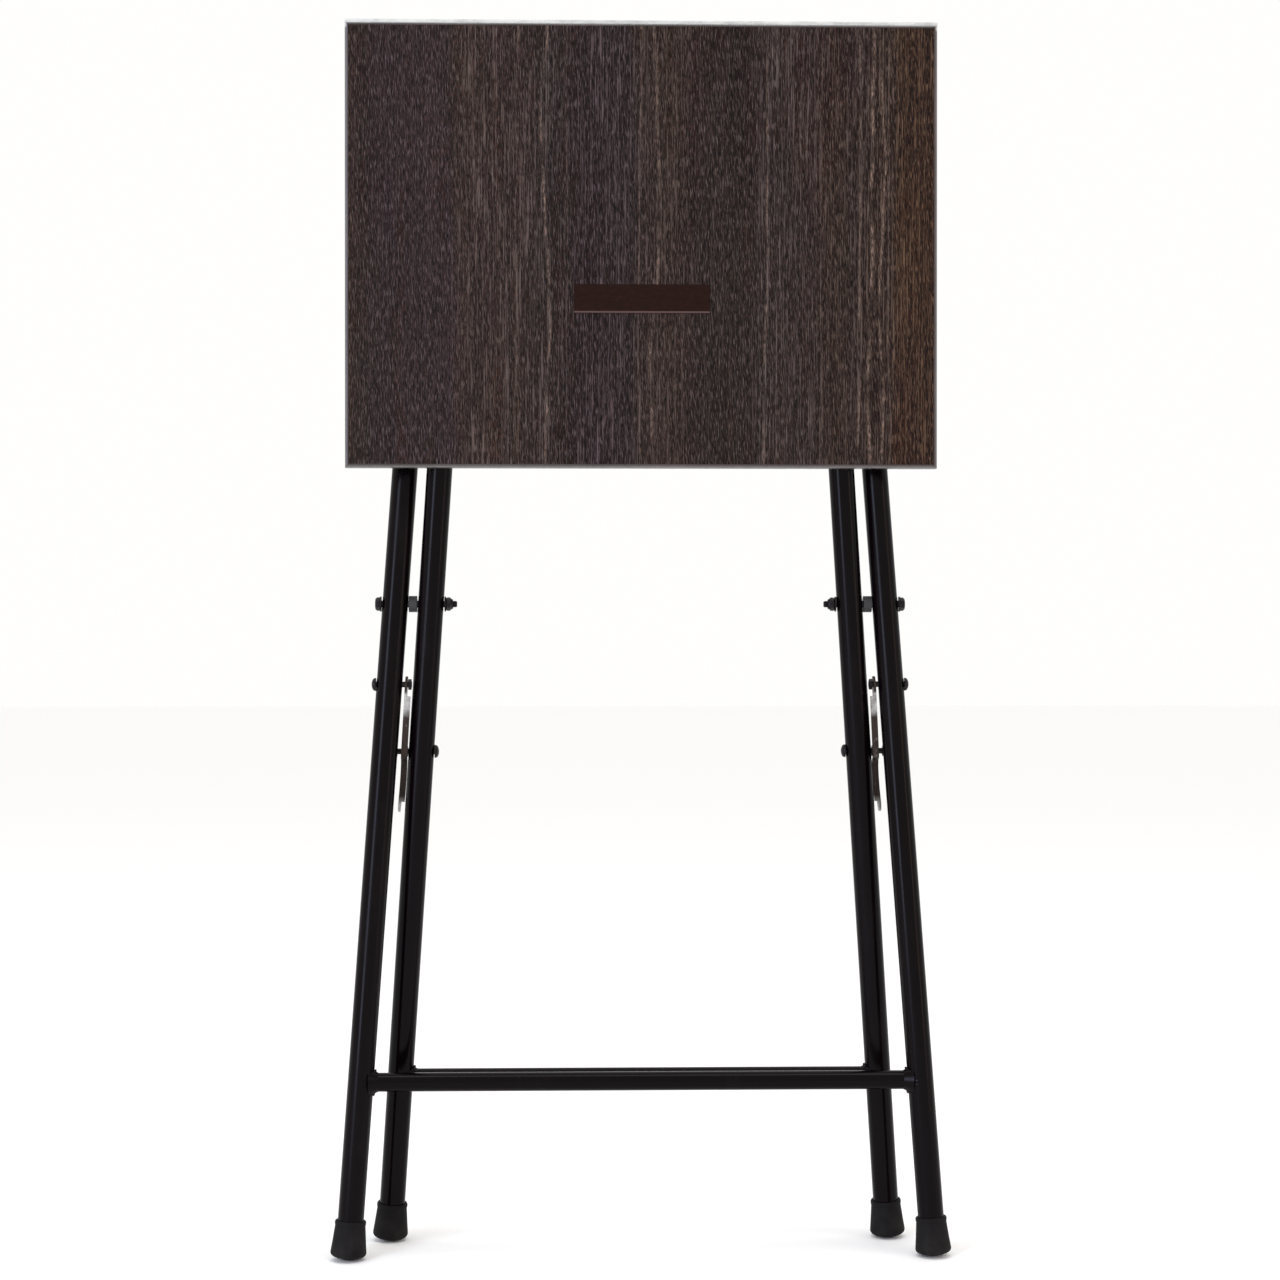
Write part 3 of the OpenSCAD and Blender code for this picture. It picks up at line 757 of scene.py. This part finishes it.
class TRAY_OT_frames(Operator):
    """Paint the two tubular frames and their crossbars, and weld the joints"""

    bl_idname = "tray.frames"
    bl_label = "Frames"

    def execute(self, context):
        settings = context.scene.tray_frame
        paint = paint_material(settings)
        paint_nodes(paint, names_with("_tube", "_crossbar"))
        for frame_name, tilt in (("outer", -REST_TILT), ("inner", REST_TILT)):
            for side_name, side in (("left", -1), ("right", 1)):
                self.make_weld(settings, paint, frame_name, tilt, side_name, side)
        return {"FINISHED"}

    def make_weld(self, settings, paint, frame_name, tilt, side_name, side):
        """A rippled bead where a crossbar meets a leg."""
        low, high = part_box(frame_name + "_crossbar")
        bar = (low + high) / 2
        leg = high.x + CROSSBAR_END_TO_LEG
        turn = Matrix.Rotation(tilt, 3, "X")
        rings = []
        steps = settings.weld_ripples * WELD_STEPS_PER_RIPPLE
        for i in range(steps):
            angle = 2 * math.pi * i / steps
            ripple = 1.0 + WELD_RIPPLE * math.cos(angle * settings.weld_ripples)
            thickness = settings.weld_radius * ripple
            ring = []
            for j in range(WELD_STEPS_AROUND):
                around = 2 * math.pi * j / WELD_STEPS_AROUND
                reach = WELD_RING + thickness * math.cos(around)
                y, z = reach * math.cos(angle), reach * math.sin(angle)
                beside = min(abs(y), LEG_RADIUS * 0.97)
                surface = leg - LEG_LEAN * z - math.sqrt(LEG_RADIUS**2 - beside**2)
                x = surface - thickness * (1.0 + math.sin(around)) / 2
                ring.append(turn @ Vector((side * x, y, z)) + Vector((0.0, bar.y, bar.z)))
            rings.append(ring)
        mesh = skin_mesh(f"weld_{frame_name}_{side_name}", rings, True)
        new_piece(mesh.name, mesh, paint, frame_name + "_frame")


class TRAY_OT_feet(Operator):
    """Finish the rubber feet and the buffers under the board"""

    bl_idname = "tray.feet"
    bl_label = "Feet"

    def execute(self, context):
        paint_nodes(rubber_material(context.scene.tray_frame), names_with("_foot_", "buffer_"))
        return {"FINISHED"}


class TRAY_OT_fasteners(Operator):
    """Make the pivot bolts and lock nuts, and finish the other bolts, washers and spacers"""

    bl_idname = "tray.fasteners"
    bl_label = "Fasteners"

    def execute(self, context):
        settings = context.scene.tray_hardware
        dark = metal_material("black_steel", settings.dark_steel_tone, 0.36, 0.9)
        paint_nodes(dark, names_with("_bolt_", "_nut", "washers"))
        plastic = plastic_material("spacer_plastic", settings.plastic_tone, 0.5)
        paint_nodes(plastic, names_with("spacer"))
        for side in ("left", "right"):
            self.make_bolt(side, dark, settings)
            self.make_nut(side, dark, settings)
        return {"FINISHED"}

    def make_bolt(self, side, material, settings):
        """A bolt: chamfered hexagon head, washer face, plain shank, thread and bevelled tip."""
        low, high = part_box("pivot_bolt_" + side)
        centre, inwards = (low + high) / 2, -1 if side == "right" else 1
        start = high.x if side == "right" else low.x
        total = high.x - low.x
        thread_start = total - settings.thread_length
        profile = turned_profile((*BOLT_HEAD, (thread_start, SHANK_RADIUS, False)))
        turns = (settings.thread_length - THREAD_RUNOUT) / settings.thread_pitch
        for step in range(1, int(turns * THREAD_STEPS_PER_TURN) + 1):
            distance = thread_start + step * settings.thread_pitch / THREAD_STEPS_PER_TURN
            profile.append((distance, thread_at(distance, settings.thread_pitch)))
        profile += turned_profile(((total - 0.0005, THREAD_ROOT, False), (total, 0.0021, False)))
        mesh = turned_mesh("threaded_bolt_" + side, start, inwards, centre, profile)
        new_piece(mesh.name, mesh, material, "pivots", ["pivot_bolt_" + side])

    def make_nut(self, side, material, settings):
        """A lock nut: chamfered hexagon with a rolled collar."""
        low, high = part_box("pivot_nut_" + side)
        centre, inwards = (low + high) / 2, -1 if side == "right" else 1
        start = high.x if side == "right" else low.x
        total = high.x - low.x
        collar = ((total - 0.0003, 0.0041, False), (total, 0.0037, False), (total, NUT_BORE, False))
        profile = turned_profile((*NUT_BODY, *collar))
        mesh = turned_mesh("lock_nut_" + side, start, inwards, centre, profile, True)
        new_piece(mesh.name, mesh, material, "pivots", ["pivot_nut_" + side])


class TRAY_OT_stays(Operator):
    """Finish the two slotted stay strips"""

    bl_idname = "tray.stays"
    bl_label = "Stays"

    def execute(self, context):
        settings = context.scene.tray_hardware
        paint_nodes(stay_material(settings), ["stay_left", "stay_right"])
        return {"FINISHED"}


class TRAY_OT_underside(Operator):
    """Finish the straps, liners, catches and screws under the board"""

    bl_idname = "tray.underside"
    bl_label = "Underside fittings"

    def execute(self, context):
        settings = context.scene.tray_hardware
        worn = (0.36, 0.35, 0.33)
        bright = metal_material("plated_steel", settings.bright_steel_tone, 0.3, 1.0, worn)
        nylon = plastic_material("liner_nylon", settings.nylon_tone, 0.55)
        plastic = plastic_material("catch_plastic", settings.plastic_tone, 0.48)
        paint_nodes(bright, ["strap_left", "strap_right", "strap_screws", "catch_screws"])
        paint_nodes(nylon, names_with("strap_liner"))
        paint_nodes(plastic, ["catch_left", "catch_right"])
        return {"FINISHED"}


def area_light(name, place, aim, width, height, watts, tone):
    """A rectangular soft light turned towards the point it is aimed at."""
    data = bpy.data.lights.new(name, "AREA")
    data.shape = "RECTANGLE"
    data.size, data.size_y = width, height
    data.energy = watts
    data.color = tone
    lamp = bpy.data.objects.new(name, data)
    bpy.context.scene.collection.objects.link(lamp)
    lamp.location = place
    lamp.rotation_euler = (Vector(aim) - Vector(place)).to_track_quat("-Z", "Y").to_euler()


class TRAY_OT_stage(Operator):
    """Lay a plain pale floor, soft lights and the camera"""

    bl_idname = "tray.stage"
    bl_label = "Stage"

    def execute(self, context):
        settings = context.scene.tray_stage
        self.make_floor(settings)
        self.make_air(context.scene, settings)
        for light in LIGHTS:
            area_light(*light)
        self.make_camera(context.scene, settings)
        return {"FINISHED"}

    def make_floor(self, settings):
        mesh = bpy.data.meshes.new("floor")
        around = ((-1, -1), (1, -1), (1, 1), (-1, 1))
        corners = [(x * FLOOR_HALF, y * FLOOR_HALF, 0) for x, y in around]
        mesh.from_pydata(corners, [], [(0, 1, 2, 3)])
        paper = Shading("pale_floor")
        paper.set(Base_Color=settings.floor_tone, Roughness=0.7)
        mesh.materials.append(paper.material)
        floor = bpy.data.objects.new("floor", mesh)
        bpy.context.scene.collection.objects.link(floor)

    def make_air(self, scene, settings):
        world = bpy.data.worlds.new("soft_air")
        world.use_nodes = True
        scene.world = world
        sky = world.node_tree.nodes["Background"]
        sky.inputs["Color"].default_value = rgba(settings.air_tone)
        sky.inputs["Strength"].default_value = settings.air_strength
        scene.view_settings.view_transform = "Standard"

    def make_camera(self, scene, settings):
        data = bpy.data.cameras.new("camera")
        data.lens = settings.camera_lens
        data.sensor_width = 36.0
        data.clip_start, data.clip_end = 0.05, 60.0
        camera = bpy.data.objects.new("camera", data)
        scene.collection.objects.link(camera)
        camera.location = (settings.camera_side, -settings.camera_distance, settings.camera_height)
        level = math.pi / 2
        camera.rotation_euler = (level + settings.camera_tilt, 0.0, -settings.camera_turn)
        scene.camera = camera


OPERATORS = (
    TRAY_OT_tabletop,
    TRAY_OT_frames,
    TRAY_OT_feet,
    TRAY_OT_fasteners,
    TRAY_OT_stays,
    TRAY_OT_underside,
    TRAY_OT_stage,
)
SETTINGS = {
    "tray_top": TrayTopSettings,
    "tray_frame": TrayFrameSettings,
    "tray_hardware": TrayHardwareSettings,
    "tray_stage": TrayStageSettings,
}


class TRAY_PT_sidebar(Panel):
    """Sidebar panel that lists the table's makers and their settings"""

    bl_idname = "TRAY_PT_sidebar"
    bl_label = "Folding tray table"
    bl_space_type = "VIEW_3D"
    bl_region_type = "UI"
    bl_category = "Tray Table"

    def draw(self, context):
        for operator in OPERATORS:
            self.layout.operator(operator.bl_idname)
        for key, group in SETTINGS.items():
            box = self.layout.box()
            for name in group.__annotations__:
                box.prop(getattr(context.scene, key), name)


CLASSES = (*SETTINGS.values(), *OPERATORS, TRAY_PT_sidebar)


def register():
    for cls in CLASSES:
        bpy.utils.register_class(cls)
    for key, group in SETTINGS.items():
        setattr(bpy.types.Scene, key, PointerProperty(type=group))


def unregister():
    for key in SETTINGS:
        delattr(bpy.types.Scene, key)
    for cls in reversed(CLASSES):
        bpy.utils.unregister_class(cls)


def main():
    register()
    for operator in OPERATORS:
        group, name = operator.bl_idname.split(".")
        getattr(getattr(bpy.ops, group), name)()


if __name__ == "__main__":
    main()
